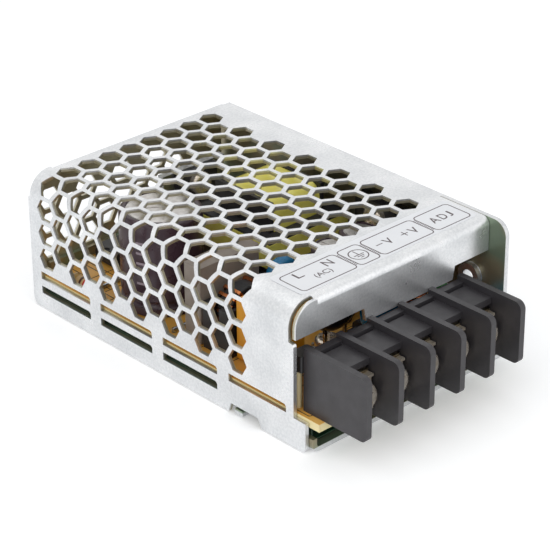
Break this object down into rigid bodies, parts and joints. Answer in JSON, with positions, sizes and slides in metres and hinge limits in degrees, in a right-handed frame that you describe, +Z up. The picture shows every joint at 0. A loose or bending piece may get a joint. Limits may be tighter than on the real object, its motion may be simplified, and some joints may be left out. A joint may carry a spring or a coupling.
{
  "type": "mesh case switching power supply",
  "caption": "Open-frame switching power supply on a folded chassis under a hexagon-mesh sheet-metal cover, with a screw terminal block along its open front edge.",
  "frame": {"origin": "middle of the base's underside, halfway along and across the sheet-metal case (the terminal block stands out ahead of it)", "axes": "+Z up from the base to the mesh top, -Y towards the terminals, +X to the right seen from the terminals, towards the plain wall"},
  "size_m": [0.051, 0.0896, 0.028],
  "materials": {
    "zinc_sheet": "satin zinc-plated steel sheet, softly mottled",
    "chassis_metal": "satin plated sheet",
    "screw_metal": "bright nickel plating",
    "clamp_metal": "bright nickel plating, pressed plate",
    "contact_metal": "tinned brass, slightly warm",
    "tin": "tin and solder, semi-bright",
    "standoff_metal": "machined brass, satin",
    "insulator": "thin dark green film, glossy",
    "laminate": "amber paper laminate with lacquer",
    "terminal_plastic": "moulded black plastic, satin",
    "black_plastic": "moulded black plastic, matt",
    "disc_black": "dipped black coating",
    "disc_blue": "dipped blue coating, glossy",
    "box_orange": "moulded yellow-orange box",
    "box_grey": "moulded beige-grey box",
    "ferrite": "sintered ferrite, dark grey",
    "copper_wire": "enamelled copper wire, glossy",
    "can_sleeve": "printed shrink sleeve, dark purple-brown",
    "tape": "yellow polyester tape, glossy",
    "heatsink_metal": "mill-finish aluminium",
    "heatsink_black": "black anodised aluminium",
    "opto_white": "moulded off-white plastic",
    "resistor_body": "beige lacquer",
    "led_green": "tinted clear resin",
    "trimmer_blue": "moulded blue plastic",
    "rotor_white": "moulded white plastic"
  },
  "bodies": {
    "case": {"base_chassis": "chassis_metal", "mesh_cover": "zinc_sheet", "cover_screws": "screw_metal", "insulation_sheet": "insulator", "board_standoffs": "standoff_metal", "circuit_board": "laminate", "board_screws": "screw_metal", "board_washers": "tin", "solder_joints": "tin", "terminal_block": "terminal_plastic", "terminal_contacts": "contact_metal", "input_fuse": "black_plastic", "ntc_thermistor": "disc_black", "varistor": "disc_blue", "x_capacitor": "box_orange", "film_capacitor": "box_grey", "choke_holder": "black_plastic", "choke_core": "ferrite", "choke_windings": "copper_wire", "y_capacitor": "disc_blue", "bridge_rectifier": "black_plastic", "bulk_capacitor": "can_sleeve", "transistor_heatsink": "heatsink_metal", "switching_transistor": "black_plastic", "control_chip": "black_plastic", "transformer_core": "ferrite", "transformer_bobbin": "black_plastic", "transformer_winding": "tape", "core_tape": "tape", "rectifier_heatsink": "heatsink_black", "output_rectifier": "black_plastic", "heatsink_screws": "screw_metal", "output_capacitors": "can_sleeve", "inductor_core": "ferrite", "inductor_winding": "copper_wire", "optocoupler": "opto_white", "auxiliary_capacitors": "can_sleeve", "resistors": "resistor_body", "diodes": "black_plastic", "jumper_wires": "tin", "status_led": "led_green", "trimmer_body": "trimmer_blue"},
    "clamp_1": {"terminal_clamp_1": "clamp_metal"},
    "screw_1": {"terminal_screw_1": "screw_metal"},
    "clamp_2": {"terminal_clamp_2": "clamp_metal"},
    "screw_2": {"terminal_screw_2": "screw_metal"},
    "clamp_3": {"terminal_clamp_3": "clamp_metal"},
    "screw_3": {"terminal_screw_3": "screw_metal"},
    "clamp_4": {"terminal_clamp_4": "clamp_metal"},
    "screw_4": {"terminal_screw_4": "screw_metal"},
    "clamp_5": {"terminal_clamp_5": "clamp_metal"},
    "screw_5": {"terminal_screw_5": "screw_metal"},
    "trimmer_rotor": {"trimmer_rotor": "rotor_white"}
  },
  "joints": [
    {"name": "screw_1_travel", "type": "slide", "parent": "case", "child": "clamp_1", "axis": [0, -1, 0], "range_m": [0, 0.003]},
    {"name": "screw_1_turn", "type": "hinge", "parent": "clamp_1", "child": "screw_1", "pos_m": [-0.01861, -0.0463, 0.0117], "axis": [0, -1, 0], "range_deg": [0, 2160]},
    {"name": "screw_2_travel", "type": "slide", "parent": "case", "child": "clamp_2", "axis": [0, -1, 0], "range_m": [0, 0.003]},
    {"name": "screw_2_turn", "type": "hinge", "parent": "clamp_2", "child": "screw_2", "pos_m": [-0.01078, -0.0463, 0.0117], "axis": [0, -1, 0], "range_deg": [0, 2160]},
    {"name": "screw_3_travel", "type": "slide", "parent": "case", "child": "clamp_3", "axis": [0, -1, 0], "range_m": [0, 0.003]},
    {"name": "screw_3_turn", "type": "hinge", "parent": "clamp_3", "child": "screw_3", "pos_m": [-0.00296, -0.0463, 0.0117], "axis": [0, -1, 0], "range_deg": [0, 2160]},
    {"name": "screw_4_travel", "type": "slide", "parent": "case", "child": "clamp_4", "axis": [0, -1, 0], "range_m": [0, 0.003]},
    {"name": "screw_4_turn", "type": "hinge", "parent": "clamp_4", "child": "screw_4", "pos_m": [0.00487, -0.0463, 0.0117], "axis": [0, -1, 0], "range_deg": [0, 2160]},
    {"name": "screw_5_travel", "type": "slide", "parent": "case", "child": "clamp_5", "axis": [0, -1, 0], "range_m": [0, 0.003]},
    {"name": "screw_5_turn", "type": "hinge", "parent": "clamp_5", "child": "screw_5", "pos_m": [0.0127, -0.0463, 0.0117], "axis": [0, -1, 0], "range_deg": [0, 2160]},
    {"name": "voltage_trim", "type": "hinge", "parent": "case", "child": "trimmer_rotor", "pos_m": [0.0208, -0.0393, 0.01], "axis": [0, -1, 0], "range_deg": [-130, 130]}
  ],
  "couplings": [
    {"joint": "screw_1_turn", "follows": "screw_1_travel", "rad_per_m": 12566},
    {"joint": "screw_2_turn", "follows": "screw_2_travel", "rad_per_m": 12566},
    {"joint": "screw_3_turn", "follows": "screw_3_travel", "rad_per_m": 12566},
    {"joint": "screw_4_turn", "follows": "screw_4_travel", "rad_per_m": 12566},
    {"joint": "screw_5_turn", "follows": "screw_5_travel", "rad_per_m": 12566}
  ]
}
